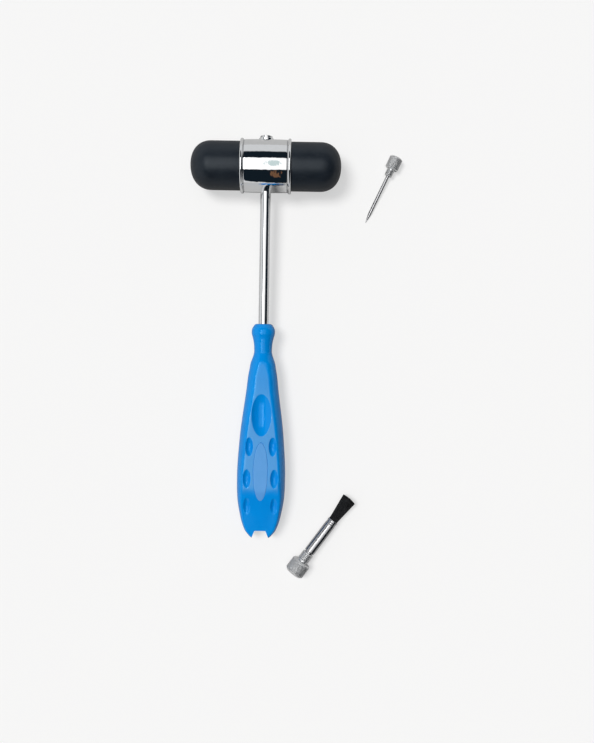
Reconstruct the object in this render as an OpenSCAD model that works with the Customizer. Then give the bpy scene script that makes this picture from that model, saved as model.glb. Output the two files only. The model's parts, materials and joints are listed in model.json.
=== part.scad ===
// Reflex hammer with a screw-in needle and a screw-in brush, laid out on a table.
// Millimetres. +Z is up, Z = 0 is the table, +Y runs from the grip to the head.
// The hammer lies on its head band and on the lower face of its grip. Each
// accessory lies on its knob and dips towards its tip. The origin is the middle
// of the laid-out set.

/* [Head] */
// Length of the head over both rubber bumpers
head_len = 67.2; // [60:0.2:76]
// Radius of the rubber bumpers
bumper_r = 10.8; // [10.76:0.01:10.95]
// Length over which a bumper rounds off to its tip
bumper_round = 9.6; // [7:0.2:12]
// Half width of the chromed band
band_half = 11.25; // [10.5:0.05:12.5]
// Radius of the band over its end beads
bead_r = 12.1; // [11.9:0.05:12.8]
// Radius of the band's drum next to the beads
drum_r = 11.5; // [11.4:0.05:11.6]
// Extra radius of the drum at its middle
drum_crown = 0.15; // [0:0.05:0.3]

/* [Stem] */
// Radius of the stem
stem_r = 2.25; // [2:0.05:2.4]
// Distance from the head's centre to the top of the grip
stem_free = 69.7; // [60:0.1:90]
// Depth of the stem inside the grip
tang_len = 48; // [40:1:50]

/* [Grip] */
// Length of the grip
grip_len = 97.2; // [95:0.1:100]
// Radius of the bead at the top of the grip
top_bead_r = 5.25; // [5:0.05:5.4]
// Radius of the neck below the bead
neck_r = 4.05; // [3.8:0.05:4.3]
// Radius of the grip at its widest place
swell_r = 10.9; // [10.4:0.1:11.6]
// Half thickness of the grip between its two flats
flat_half = 7.2; // [6.8:0.05:7.4]
// Depth of the thumb hollow
thumb_depth = 2.1; // [1:0.1:2.2]
// Depth of the small finger hollows
finger_depth = 1.2; // [0.6:0.1:1.3]

/* [Needle] */
// Radius of the needle's knurled knob
needle_knob_r = 3.05; // [2.8:0.05:3.3]
// Length of the needle's knurled knob
needle_knob_len = 6; // [5:0.1:7]
// Radius of the needle's screwed boss
needle_boss_r = 1.8; // [1.75:0.01:1.82]
// Length of the needle's screwed boss
needle_boss_len = 3.4; // [3:0.1:3.8]
// Radius of the needle
needle_r = 0.75; // [0.6:0.05:0.8]
// Length of the needle below its boss
needle_len = 23.4; // [20:0.1:23.8]

/* [Brush] */
// Radius of the brush's knurled knob
brush_knob_r = 4.5; // [4.2:0.05:4.6]
// Length of the brush's knurled knob
brush_knob_len = 7; // [6:0.1:8]
// Radius of the brush's screwed boss
brush_boss_r = 2.72; // [2.6:0.01:2.74]
// Length of the brush's screwed boss
brush_boss_len = 4.7; // [4:0.1:5.2]
// Radius of the brush's ferrule
ferrule_r = 2.45; // [2.3:0.05:2.5]
// Free length of the ferrule
ferrule_len = 18.7; // [16:0.1:20]
// Free length of the bristles
bristle_len = 12.6; // [10:0.1:13]
// Radius of the bristles at their cut ends
bristle_end_r = 3.4; // [3:0.1:3.6]

/* [Layout] */
// Head centre from the middle of the laid-out set, across
head_x = -14.16; // [-20:0.01:-5]
// Head centre from the middle of the laid-out set, along
head_y = 86.19; // [70:0.01:100]
// Direction in which the needle points
needle_az = 245.3; // [235:0.1:255]
// Direction in which the brush points
brush_az = 53.6; // [45:0.1:65]

/* [Hidden] */
$fn = 96;

BLUE = [0.02, 0.42, 0.82];
INLAY = [0.16, 0.50, 0.85];
CHROME = [0.86, 0.87, 0.88];
STEEL = [0.62, 0.63, 0.65];
RUBBER = [0.10, 0.11, 0.13];
BRASS = [0.78, 0.62, 0.30];
BLACK = [0.05, 0.05, 0.06];

gap = 0.03; // clearance round parts that fit into each other

// The stem's axis drops from bead_r at the head to axis_z at axis_d down the grip.
axis_d = 79;
axis_z = 6.85;
tilt = asin((bead_r - axis_z) / (stem_free + axis_d));

// ---- frames and shared profiles ----
// Hammer frame: origin at the head's centre, X along the head, Y along the stem.
module in_hammer() {
    translate([head_x, head_y, bead_r]) rotate([tilt, 0, 0]) children();
}

// A turned piece on the stem's axis; its profile is [radius, y].
module on_stem() { in_hammer() rotate([-90, 0, 0]) rotate_extrude() children(); }

// A turned piece on the head's axis; its profile is [radius, x].
module on_head() { in_hammer() rotate([0, 90, 0]) rotate_extrude() children(); }

// The upper (face = 1) or lower (face = -1) side of the hammer.
module on_face(face) { in_hammer() mirror([0, 0, face < 0 ? 1 : 0]) children(); }

// A cutter on the stem's axis.
module stem_hole(r, y0, y1) {
    in_hammer() translate([0, y0, 0]) rotate([-90, 0, 0]) cylinder(r = r, h = y1 - y0);
}

// Y of a station at distance d below the top of the grip.
function grip_y(d) = -stem_free - d;

// Ring grooves in a turned surface; steps are a groove's four corners after its start.
function grooves(r, depth, start, pitch, count, steps) = [for (i = [0:count - 1])
    let (at = start + pitch * i) each
    [[r, at + steps[0]], [r - depth, at + steps[1]],
     [r - depth, at + steps[2]], [r, at + steps[3]]]];

// Profile from one end to the other, from its half that runs middle to +X end.
function both_ends(half, middle = []) = concat(
    [for (i = [len(half) - 1:-1:0]) [half[i][0], -half[i][1]]], middle, half);

// ---- grip ----
notch_depth = 3.6;
root_d = grip_len - notch_depth;
notch_root_w = 5;
notch_mouth_w = 7.7;
insert_r = 3.45;
insert_len = 6;
insert_inset = 0.3; // from the notch's root
brush_bore_len = 38;
brush_bore_r = 2.77;

// Turned outline: [distance from the top, radius].
grip_radii = [
    [0.7, 0.62 * top_bead_r], [1, 0.74 * top_bead_r], [1.8, 0.85 * top_bead_r],
    [2.6, 0.94 * top_bead_r], [3.4, 0.99 * top_bead_r], [4.2, top_bead_r],
    [5.2, 0.985 * top_bead_r], [6.4, 0.92 * top_bead_r],
    [8, (top_bead_r + 2 * neck_r) / 3], [10.8, neck_r],
    [13.2, 0.985 * neck_r], [14.6, 1.05 * neck_r], [16.2, 1.18 * neck_r],
    [18.4, 1.365 * neck_r], [21, 1.475 * neck_r],
    [24, 0.598 * swell_r], [30, 0.66 * swell_r], [36, 0.732 * swell_r],
    [43, 0.82 * swell_r], [50, 0.893 * swell_r], [57, 0.945 * swell_r],
    [63, 0.982 * swell_r], [69, swell_r], [74, 0.997 * swell_r],
    [79, 0.975 * swell_r], [83, 0.927 * swell_r], [86.5, 0.862 * swell_r],
    [89.5, 0.8 * swell_r], [92, 0.725 * swell_r], [94.2, 0.635 * swell_r],
    [95.8, 0.52 * swell_r], [96.8, 0.44 * swell_r], [grip_len, 0.39 * swell_r]];

// Flats: [distance from the top, half thickness].
grip_halves = [
    [-1, 6.2], [14, 5.5], [18, 5.4], [25, 5.85], [32, 6.3], [39, 6.68], [46, 6.95],
    [53, flat_half - 0.07], [60, flat_half], [67, flat_half - 0.03], [70, 7.135],
    [72, 7.085], [74, 6.97], [75.5, 6.8], [77, 6.56], [80, 6.02], [84, 5.34],
    [88, 4.73], [root_d, 3.95], [grip_len + 1, 3.35]];

// Hollows on each face: [x, distance from the top, half length, half width, depth].
thumb_hollow = [0, 41.3, 9.5, 4.45, thumb_depth];
finger_hollows = [ // each is repeated at -x
    [5.2, 55.3, 4.3, 1.75, finger_depth],
    [6.1, 69.6, 4.3, 1.75, finger_depth],
    [6.05, 82, 3.7, 1.5, 0.8 * finger_depth]];

// Lens-shaped inlay: two arcs, with the tips cut by a circle.
lens_d = 66.6;
lens_half_len = 15;
lens_half_w = 3.22;
lens_arc_r = (pow(lens_half_len, 2) + pow(lens_half_w, 2)) / (2 * lens_half_w);
lens_tip_r = 13.1;
lens_floor = 5.8;
lens_top = 9; // above the flats
inlay_side_gap = 0.06;
inlay_floor_gap = 0.02;

function half_at(d) = lookup(d, grip_halves);
function slope_at(d) = atan((half_at(d + 1) - half_at(d - 1)) / 2);

module grip_slab() {
    width = 30;
    last = len(grip_halves) - 1;
    in_hammer() rotate([0, -90, 0]) translate([0, 0, -width / 2]) linear_extrude(width)
        polygon(concat(
            [for (i = [0:last]) [grip_halves[i][1], grip_y(grip_halves[i][0])]],
            [for (i = [last:-1:0]) [-grip_halves[i][1], grip_y(grip_halves[i][0])]]));
}

module grip_turned() {
    on_stem() polygon(concat([[0, grip_y(grip_radii[0][0])]],
        [for (station = grip_radii) [station[1], grip_y(station[0])]],
        [[0, grip_y(grip_len)]]));
}

// A spindle that scoops an oval hollow out of a face, lying along its slope.
module scoop(x, d, half_len, half_w, depth, face) {
    axis_height = (half_w * half_w - depth * depth) / (2 * depth);
    overrun = 1.1;
    on_face(face) translate([x, grip_y(d), half_at(d)]) rotate([-slope_at(d), 0, 0])
        translate([0, 0, axis_height]) rotate([90, 0, 0]) rotate_extrude($fn = 48)
            polygon(concat([[0, -half_len * overrun]],
                [for (i = [-11:11]) let (along = i / 10)
                    [axis_height + depth * (1 - along * along), along * half_len]],
                [[0, half_len * overrun]]));
}

module lens(grow, z0, z1, face) {
    on_face(face) translate([0, grip_y(lens_d), z0]) intersection() {
        for_arc(lens_arc_r - lens_half_w, lens_arc_r + grow, z1 - z0);
        for_arc(lens_half_w - lens_arc_r, lens_arc_r + grow, z1 - z0);
        cylinder(r = lens_tip_r + grow, h = z1 - z0, $fn = 180);
    }
}

module for_arc(x, r, h) { translate([x, 0, 0]) cylinder(r = r, h = h, $fn = 180); }

// Wedge-shaped notch between the grip's two end points.
module end_notch() {
    root = notch_root_w / 2;
    mouth = notch_mouth_w / 2;
    in_hammer() translate([0, -stem_free, -10]) linear_extrude(20) polygon([
        [-root, -root_d], [root, -root_d], [mouth, -grip_len], [mouth, -grip_len - 2],
        [-mouth, -grip_len - 2], [-mouth, -grip_len]]);
}

module hollow(size, side, face) {
    scoop(side * size[0], size[1], size[2], size[3], size[4], face);
}

module handle() {
    color(BLUE) difference() {
        intersection() { grip_turned(); grip_slab(); }
        stem_hole(stem_r + gap, grip_y(tang_len + 0.5), grip_y(-2));
        stem_hole(insert_r + gap, grip_y(root_d + 1), grip_y(root_d - brush_bore_len));
        end_notch();
        for (face = [-1, 1]) {
            hollow(thumb_hollow, 1, face);
            for (side = [-1, 1], size = finger_hollows) hollow(size, side, face);
            lens(0, lens_floor, lens_top, face);
        }
    }
}

module inlay(face) {
    intersection() {
        lens(-inlay_side_gap, lens_floor + inlay_floor_gap, lens_top, face);
        grip_slab();
    }
}
module grip_inlay_front() { color(INLAY) inlay(1); }
module grip_inlay_back() { color(INLAY) inlay(-1); }

// Threaded insert for the brush, just inside the notch's root.
module brush_socket() {
    low = grip_y(root_d) + insert_inset;
    top = low + insert_len;
    edge = 0.15;
    color(BRASS) on_stem() polygon(concat(
        [[brush_bore_r + 0.2, low], [insert_r - edge, low], [insert_r, low + edge]],
        grooves(r = insert_r, depth = 0.22, start = low, pitch = 1.6, count = 3,
                steps = [1.2, 1.4, 1.9, 2.1]),
        [[insert_r, top - edge], [insert_r - edge, top],
         [brush_bore_r, top], [brush_bore_r, low + 0.2]]));
}

// ---- stem and needle socket ----
shank_bottom = 7.5;
shank_r = 2.55;
socket_seat = 11.15;
socket_flange_r = 3.3;
socket_rim_r = 2.75;
socket_top = 13.2;
socket_bore_r = 1.85;
needle_bore_r = 0.95;
needle_bore_y = -14.5;

// A rod with a bore for the needle and grooves on its tang.
module stem() {
    top = shank_bottom - 0.1;
    color(CHROME) difference() {
        on_stem() polygon(concat(
            [[0, top], [stem_r, top], [stem_r, grip_y(12)]],
            grooves(r = stem_r, depth = 0.45, start = grip_y(14), pitch = -5, count = 6,
                    steps = [0, -0.6, -2, -2.6]),
            [[stem_r, grip_y(tang_len - 1)], [stem_r - 0.8, grip_y(tang_len)],
             [0, grip_y(tang_len)]]));
        stem_hole(needle_bore_r, needle_bore_y, shank_bottom + 1);
    }
}

module needle_socket() {
    flange = socket_seat + 0.02;
    edge = 0.2;
    notch_w = 0.7;
    notch_deep = 0.7;
    color(CHROME) difference() {
        on_stem() polygon([[socket_bore_r, shank_bottom], [shank_r, shank_bottom],
            [shank_r, flange], [socket_flange_r - edge, flange],
            [socket_flange_r, flange + edge], [socket_flange_r, socket_seat + 0.9],
            [socket_flange_r - edge, socket_seat + 1.1], [socket_rim_r, socket_seat + 1.2],
            [socket_rim_r, socket_top - 0.25], [socket_rim_r - 0.25, socket_top],
            [socket_bore_r + edge, socket_top], [socket_bore_r, socket_top - edge]]);
        // four spanner notches that stop short of the bore
        in_hammer() for (a = [45:90:315]) rotate([0, a, 0])
            translate([-notch_w / 2, socket_top - notch_deep, 2.2]) cube([notch_w, 2, 2]);
    }
}

// ---- head ----
band_in_r = 10.75;
bead_round = 0.68;
core_half = 3.4;
// Flanged stud on each end of the core, which holds a bumper.
stud_r = 2.4;
stud_neck_x = 13.6;
stud_flange_r = 3.3;
stud_flange_x = 14.2;
stud_tip_r = 1.9;
stud_tip_x = 16.4;
dome_power = 2.25; // exponent of the bumper's superelliptic dome

module head_band() {
    end = concat(
        [[drum_r, band_half - 2.1], [drum_r + 0.06, band_half - 1.66],
         [drum_r + 0.2, band_half - 1.4]],
        [for (a = [-60:15:90]) [bead_r - bead_round + bead_round * cos(a),
                                band_half - bead_round + bead_round * sin(a)]],
        [[band_in_r, band_half]]);
    drum = [for (i = [-5:5])
        [drum_r + drum_crown * (1 - i * i / 25), i / 5 * (band_half - 2.3)]];
    color(CHROME) difference() {
        on_head() polygon(both_ends(end, drum));
        stem_hole(stem_r + gap, -14, 0);
        stem_hole(shank_r + 0.05, 0, 14);
        stem_hole(socket_flange_r + 0.06, socket_seat, 14);
    }
}

module head_core() {
    core_r = band_in_r - 0.08;
    edge = 0.4;
    color(STEEL) difference() {
        on_head() polygon(both_ends([[core_r, core_half - edge],
            [core_r - edge, core_half], [stud_r, core_half], [stud_r, stud_neck_x],
            [stud_flange_r, stud_flange_x], [stud_tip_r, stud_tip_x], [0, stud_tip_x]]));
        stem_hole(stem_r + gap, -12, 9);
        stem_hole(shank_r + 0.06, shank_bottom - 0.05, 12);
    }
}

// Bumper at the +X end: mounting neck, dome and the undercut stud hole.
module bumper() {
    dome_x = head_len / 2 - bumper_round;
    neck_gap = 0.05;
    on_head() polygon(concat(
        [[stud_r + gap, core_half + neck_gap], [band_in_r - neck_gap, core_half + neck_gap],
         [band_in_r - neck_gap, band_half + 0.05], [bumper_r, band_half + 0.15]],
        // only the tip lies on the axis; the other points get a hair of extra radius
        [for (i = [0:18]) let (a = i * 5)
            [bumper_r * pow(cos(a), 2 / dome_power) + (i == 18 ? 0 : 0.001),
             dome_x + bumper_round * pow(sin(a), 2 / dome_power)]],
        [[0, stud_tip_x + 0.2], [stud_tip_r + 0.05, stud_tip_x + 0.2],
         [stud_flange_r + 0.1, stud_flange_x + 0.05],
         [stud_flange_r + 0.1, stud_flange_x - 0.15], [stud_r + gap, stud_neck_x - 0.1]]));
}
module bumper_right() { color(RUBBER) bumper(); }
module bumper_left() {
    color(RUBBER) translate([2 * head_x, 0, 0]) mirror([1, 0, 0]) bumper();
}

// ---- accessories: drawn on +Z from the shoulder under their knob ----
shaft_depth = 2.4; // of a needle or ferrule inside its knob

module lay_down(offset, knob_r, dip, azimuth) {
    translate([head_x + offset[0], head_y + offset[1], knob_r * cos(dip)])
        rotate([0, 90 + dip, azimuth]) children();
}

// Knob and boss, bored for the shaft. The boss has a relief below the shoulder,
// then ring grooves that stand for a fine screw thread.
// crown is [rim inset, rim drop, drop to full radius] at the knob's outer end.
function knob_profile(knob_r, knob_len, boss_r, boss_len, bore_r, crown, shoulder_edge,
                      relief, relief_len, pitch, groove, boss_edge) = concat(
    [[0, -knob_len], [0.5 * knob_r, -knob_len + 0.06],
     [knob_r - crown[0], -knob_len + crown[1]], [knob_r, -knob_len + crown[2]],
     [knob_r, -shoulder_edge], [knob_r - shoulder_edge, 0],
     [boss_r - relief, 0], [boss_r - relief, relief_len]],
    grooves(r = boss_r, depth = groove, start = relief_len, pitch = pitch, count = 5,
            steps = pitch * [0.1, 0.45, 0.6, 0.95]),
    [[boss_r, boss_len - boss_edge], [boss_r - boss_edge, boss_len],
     [bore_r, boss_len], [bore_r, -shaft_depth - 0.1], [0, -shaft_depth - 0.1]]);

// ---- needle ----
needle_offset = [56.95, 1.93]; // from the head's centre
needle_taper = 4.4;
needle_tip = needle_boss_len + needle_len;
needle_dip = atan((needle_knob_r - needle_r) / (needle_tip - needle_taper));

module in_needle() {
    lay_down(needle_offset, needle_knob_r, needle_dip, needle_az) children();
}

module needle_knob() {
    color(STEEL) in_needle() rotate_extrude() polygon(knob_profile(
        knob_r = needle_knob_r, knob_len = needle_knob_len,
        boss_r = needle_boss_r, boss_len = needle_boss_len, bore_r = needle_r + gap,
        crown = [0.55, 0.25, 0.7], shoulder_edge = 0.45, relief = 0.3,
        relief_len = 0.6, pitch = 0.5, groove = 0.16, boss_edge = 0.25));
}

module needle_shaft() {
    color(STEEL) in_needle() rotate_extrude() polygon(
        [[0, -shaft_depth], [needle_r, -shaft_depth], [needle_r, needle_tip - needle_taper],
         [0.62, needle_tip - 3.1], [0.40, needle_tip - 1.5], [0.16, needle_tip - 0.35],
         [0.05, needle_tip], [0, needle_tip]]);
}

// ---- brush ----
brush_offset = [19.3, -178.02]; // from the head's centre
ferrule_end = brush_boss_len + ferrule_len;
brush_tip = ferrule_end + bristle_len;
brush_dip = asin((brush_knob_r - bristle_end_r) / brush_tip);
ferrule_shank_r = 1.8;
ferrule_wall = 0.3;
ferrule_floor = ferrule_end - 9.2;
fill_r = ferrule_r - ferrule_wall - gap; // of what sits inside the ferrule

module in_brush() {
    lay_down(brush_offset, brush_knob_r, brush_dip, brush_az) children();
}

module brush_knob() {
    color(STEEL) in_brush() rotate_extrude() polygon(knob_profile(
        knob_r = brush_knob_r, knob_len = brush_knob_len,
        boss_r = brush_boss_r, boss_len = brush_boss_len, bore_r = ferrule_shank_r + gap,
        crown = [0.85, 0.2, 1], shoulder_edge = 0.6, relief = 0.45,
        relief_len = 0.7, pitch = 0.7, groove = 0.2, boss_edge = 0.3));
}

module brush_ferrule() {
    low = brush_boss_len;
    waist_r = ferrule_r - 0.12; // of the ring groove near the mouth
    color(STEEL) in_brush() rotate_extrude() polygon(
        [[0, -shaft_depth], [ferrule_shank_r, -shaft_depth], [ferrule_shank_r, low + 0.1],
         [1.95, low + 0.1], [1.95, low + 0.7],
         [ferrule_r - 0.2, low + 0.8], [ferrule_r, low + 1], [ferrule_r, ferrule_end - 2.2],
         [waist_r, ferrule_end - 1.9], [waist_r, ferrule_end - 1.2],
         [ferrule_r, ferrule_end - 0.9], [ferrule_r - 0.08, ferrule_end],
         [ferrule_r - ferrule_wall, ferrule_end],
         [ferrule_r - ferrule_wall, ferrule_floor], [0, ferrule_floor]]);
}

module bristle_plug() {
    color(BRASS) in_brush() translate([0, 0, ferrule_floor + 0.1])
        cylinder(r = fill_r, h = 3);
}

module brush_bristles() {
    root = ferrule_end - 6;
    color(BLACK) in_brush() rotate_extrude() polygon(
        [[0, root], [fill_r, root], [fill_r, ferrule_end + 0.8],
         [fill_r + 0.15, ferrule_end + 3], [bristle_end_r - 0.5, ferrule_end + 7],
         [bristle_end_r - 0.1, ferrule_end + 10], [bristle_end_r, brush_tip - 0.8],
         [bristle_end_r - 0.25, brush_tip], [0, brush_tip]]);
}

handle();
grip_inlay_front();
grip_inlay_back();
stem();
head_band();
head_core();
bumper_left();
bumper_right();
needle_socket();
brush_socket();
needle_knob();
needle_shaft();
brush_knob();
brush_ferrule();
bristle_plug();
brush_bristles();
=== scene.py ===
"""A reflex hammer with a needle and a brush stored in it, lying on a table.

The stem runs along Y with the head at its +Y end and the grip at its -Y end. The head runs
along X, and the grip's two flat faces look up and down. Shapes are in mm, the scene in metres.
"""
import json
import math
import bpy
import bmesh
import numpy as np
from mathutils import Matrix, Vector


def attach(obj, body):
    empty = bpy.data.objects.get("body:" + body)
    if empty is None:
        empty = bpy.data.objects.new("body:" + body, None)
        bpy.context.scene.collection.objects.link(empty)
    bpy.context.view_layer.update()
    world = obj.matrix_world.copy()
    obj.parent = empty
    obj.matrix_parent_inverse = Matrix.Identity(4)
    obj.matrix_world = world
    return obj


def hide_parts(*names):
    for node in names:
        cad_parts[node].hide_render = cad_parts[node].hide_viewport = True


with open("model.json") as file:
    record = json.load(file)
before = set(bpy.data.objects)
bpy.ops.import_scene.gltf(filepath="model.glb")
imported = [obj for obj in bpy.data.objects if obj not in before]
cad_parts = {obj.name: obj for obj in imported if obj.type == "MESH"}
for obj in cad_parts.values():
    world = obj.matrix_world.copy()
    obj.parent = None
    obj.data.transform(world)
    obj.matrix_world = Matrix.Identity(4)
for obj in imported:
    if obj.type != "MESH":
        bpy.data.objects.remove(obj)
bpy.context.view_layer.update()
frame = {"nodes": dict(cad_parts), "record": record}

random = np.random.default_rng(20)
MM = 0.001

# ---------------------------------------------------------------- frames
# The needle's socket gives the stem's axis and the head's centre, and the two
# turning joints give the frames of the loose pieces.
record = frame["record"]
mounts = {m["name"]: m for m in record["mounts"]}
joints = {j["name"]: j for j in record["behaviour"]["joints"]}
SOCKET_ABOVE_CENTRE = 10.25


def unit(vector):
    vector = np.array(vector, float)
    return vector / np.linalg.norm(vector)


HEAD_AXIS = np.array([1.0, 0, 0])
STEM_AXIS = unit(mounts["needle_socket"]["axis"])
FACE_AXIS = np.cross(HEAD_AXIS, STEM_AXIS)
HEAD = np.array(mounts["needle_socket"]["pos_m"], float) - STEM_AXIS * SOCKET_ABOVE_CENTRE * MM


def placer(origin, x_axis, y_axis, z_axis):
    """A function that takes local points in mm to the scene."""
    def place(points):
        points = np.asarray(points, float) * MM
        return (origin + points[..., 0:1] * x_axis + points[..., 1:2] * y_axis
                + points[..., 2:3] * z_axis)

    return place


def joint_placer(name):
    """Local z runs against the joint's axis."""
    joint = joints[name]
    axis = unit(-np.array(joint["axis"], float))
    side = unit(np.cross(axis, [0.0, 0.0, 1.0]))
    return placer(np.array(joint["pos_m"], float), side, np.cross(axis, side), axis)


to_hammer = placer(HEAD, HEAD_AXIS, STEM_AXIS, FACE_AXIS)
to_needle = joint_placer("needle_turn")
to_brush = joint_placer("brush_turn")


def to_stem(points):
    """Local z is the stem's axis."""
    return to_hammer(points[..., [0, 2, 1]])


def to_head(points):
    """Local z is the head's axis."""
    return to_hammer(points[..., [2, 0, 1]])


# ---------------------------------------------------------------- meshes
def add_attribute(mesh, name, kind, field, values):
    attribute = mesh.attributes.new(name, kind, "POINT")
    attribute.data.foreach_set(field, np.asarray(values, np.float32).ravel())


def shade(mesh, sharp):
    mesh.shade_smooth()
    mesh.set_sharp_from_angle(angle=math.radians(sharp))


def make_object(name, points, faces, loc=None, level=None, sharp=38):
    """loc holds local places and level a shade from 0 to 1, both for the materials."""
    mesh = bpy.data.meshes.new(name)
    mesh.from_pydata([tuple(p) for p in points], [], faces)
    if loc is not None:
        add_attribute(mesh, "loc", "FLOAT_VECTOR", "vector", loc)
    if level is not None:
        add_attribute(mesh, "level", "FLOAT", "value", level)
    bm = bmesh.new()
    bm.from_mesh(mesh)
    bmesh.ops.recalc_face_normals(bm, faces=bm.faces)
    bm.to_mesh(mesh)
    bm.free()
    shade(mesh, sharp)
    ob = bpy.data.objects.new(name, mesh)
    bpy.context.scene.collection.objects.link(ob)
    return ob


def rounded(corners, steps=5):
    """Rounds a profile's corners, each (radius, z) or (radius, z, fillet)."""
    points = []
    for i, corner in enumerate(corners):
        fillet = corner[2] if len(corner) > 2 else 0
        here = np.array(corner[:2], float)
        if not fillet or i in (0, len(corners) - 1):
            points.append(here)
            continue
        before = np.array(corners[i - 1][:2], float) - here
        after = np.array(corners[i + 1][:2], float) - here
        before_len, after_len = np.linalg.norm(before), np.linalg.norm(after)
        before, after = before / before_len, after / after_len
        cosine = float(before @ after)
        if abs(cosine) > 0.9995:
            points.append(here)
            continue
        half = math.acos(cosine) / 2
        setback = min(fillet / math.tan(half), 0.48 * before_len, 0.48 * after_len)
        radius = setback * math.tan(half)
        if radius < 1e-4:
            points.append(here)
            continue
        centre = here + unit(before + after) * (radius / math.sin(half))
        start, end = here + before * setback - centre, here + after * setback - centre
        first, last = math.atan2(start[1], start[0]), math.atan2(end[1], end[0])
        while last - first > math.pi:
            last -= 2 * math.pi
        while last - first < -math.pi:
            last += 2 * math.pi
        for k in range(steps + 1):
            angle = first + (last - first) * k / steps
            points.append(centre + radius * np.array([math.cos(angle), math.sin(angle)]))
    return np.array(points)


def densify(profile, step):
    points = [profile[0]]
    for start, end in zip(profile[:-1], profile[1:]):
        count = max(1, int(math.ceil(np.linalg.norm(end - start) / step)))
        for i in range(1, count + 1):
            points.append(start + (end - start) * i / count)
    return np.array(points)


def round_shape(angles, radius, z):
    return np.full_like(angles, radius), np.ones_like(angles)


def lathe(name, profile, place, segments=96, shape=round_shape, sharp=38):
    """Turns a profile of (radius, z).

    shape(angles, radius, z) gives each ring's radii and levels. An end on the axis closes
    to a point; a profile with both ends off the axis joins up with itself.
    """
    angles = np.arange(segments) * 2 * math.pi / segments
    cosines, sines = np.cos(angles), np.sin(angles)
    points, levels, rings = [], [], []
    for radius, z in np.asarray(profile, float):
        start = len(points)
        if radius < 1e-6:
            points.append((0, 0, z))
            levels.append(1.0)
        else:
            radii, ring_levels = shape(angles, radius, z)
            points.extend(zip(radii * cosines, radii * sines, [z] * segments))
            levels.extend(ring_levels)
        rings.append(range(start, len(points)))
    pairs = list(zip(rings[:-1], rings[1:]))
    if len(rings[0]) > 1 and len(rings[-1]) > 1:
        pairs.append((rings[-1], rings[0]))
    faces = []
    for low, high in pairs:
        for i in range(segments):
            j = (i + 1) % segments
            if len(low) == 1:
                faces.append((low[0], high[i], high[j]))
            elif len(high) == 1:
                faces.append((low[i], low[j], high[0]))
            else:
                faces.append((low[i], low[j], high[j], high[i]))
    points = np.array(points)
    return make_object(name, place(points), faces, loc=points, level=levels, sharp=sharp)


def tube_faces(rings, sides, first=0):
    """Faces of a tube of equal rings with a flat cap at each end."""
    last = first + (rings - 1) * sides
    faces = []
    for start in range(first, last, sides):
        for i in range(sides):
            a, b = start + i, start + (i + 1) % sides
            faces.append((a, b, b + sides, a + sides))
    faces.append(tuple(range(first + sides - 1, first - 1, -1)))
    faces.append(tuple(range(last, last + sides)))
    return faces


def cut(ob, cutter):
    modifier = ob.modifiers.new("cut", "BOOLEAN")
    modifier.operation = "DIFFERENCE"
    modifier.object = cutter
    modifier.solver = "EXACT"
    depsgraph = bpy.context.evaluated_depsgraph_get()
    depsgraph.update()
    mesh = bpy.data.meshes.new_from_object(ob.evaluated_get(depsgraph))
    ob.modifiers.clear()
    old = ob.data
    ob.data = mesh
    bpy.data.meshes.remove(old)
    bpy.data.objects.remove(cutter)


def smooth_curve(stations):
    """A monotone cubic through (place, value) stations."""
    places, values = np.array(stations, float).T
    gaps = np.diff(places)
    chords = np.diff(values) / gaps
    slopes = np.zeros(len(places))
    slopes[0], slopes[-1] = chords[0], chords[-1]
    for i in range(1, len(places) - 1):
        if chords[i - 1] * chords[i] > 0:
            before = 2 * gaps[i] + gaps[i - 1]
            after = gaps[i] + 2 * gaps[i - 1]
            slopes[i] = (before + after) / (before / chords[i - 1] + after / chords[i])

    def curve(at):
        at = np.clip(np.asarray(at, float), places[0], places[-1])
        i = np.clip(np.searchsorted(places, at, side="right") - 1, 0, len(places) - 2)
        t = (at - places[i]) / gaps[i]
        return ((1 + 2 * t) * (1 - t) ** 2 * values[i] + t * (1 - t) ** 2 * gaps[i] * slopes[i]
                + t * t * (3 - 2 * t) * values[i + 1] + t * t * (t - 1) * gaps[i] * slopes[i + 1])

    return curve


def smoothstep(value, low, high):
    t = np.clip((value - low) / (high - low), 0, 1)
    return t * t * (3 - 2 * t)


# ---------------------------------------------------------------- shader nodes
class Graph:
    """Short calls that add shader nodes and return their output sockets."""

    def __init__(self, tree):
        self.tree = tree
        tree.nodes.clear()

    def node(self, kind):
        return self.tree.nodes.new("ShaderNode" + kind)

    def source(self, kind, output):
        return self.node(kind).outputs[output]

    def feed(self, socket, value):
        """Links a socket, or sets a number or an RGB colour."""
        if isinstance(value, bpy.types.NodeSocket):
            self.tree.links.new(value, socket)
        else:
            socket.default_value = (*value, 1) if isinstance(value, tuple) else value

    def math(self, operation, first, second):
        node = self.node("Math")
        node.operation = operation
        self.feed(node.inputs[0], first)
        self.feed(node.inputs[1], second)
        return node.outputs[0]

    def times(self, first, second):
        return self.math("MULTIPLY", first, second)

    def mix(self, factor, low, high):
        node = self.node("Mix")
        node.data_type = "RGBA"
        for i, value in ((0, factor), (6, low), (7, high)):
            self.feed(node.inputs[i], value)
        return node.outputs[2]

    def remap(self, value, span, to=(0, 1), smooth=False):
        node = self.node("MapRange")
        if smooth:
            node.interpolation_type = "SMOOTHSTEP"
        self.feed(node.inputs[0], value)
        for i, limit in enumerate((*span, *to)):
            node.inputs[1 + i].default_value = limit
        return node.outputs[0]


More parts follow.
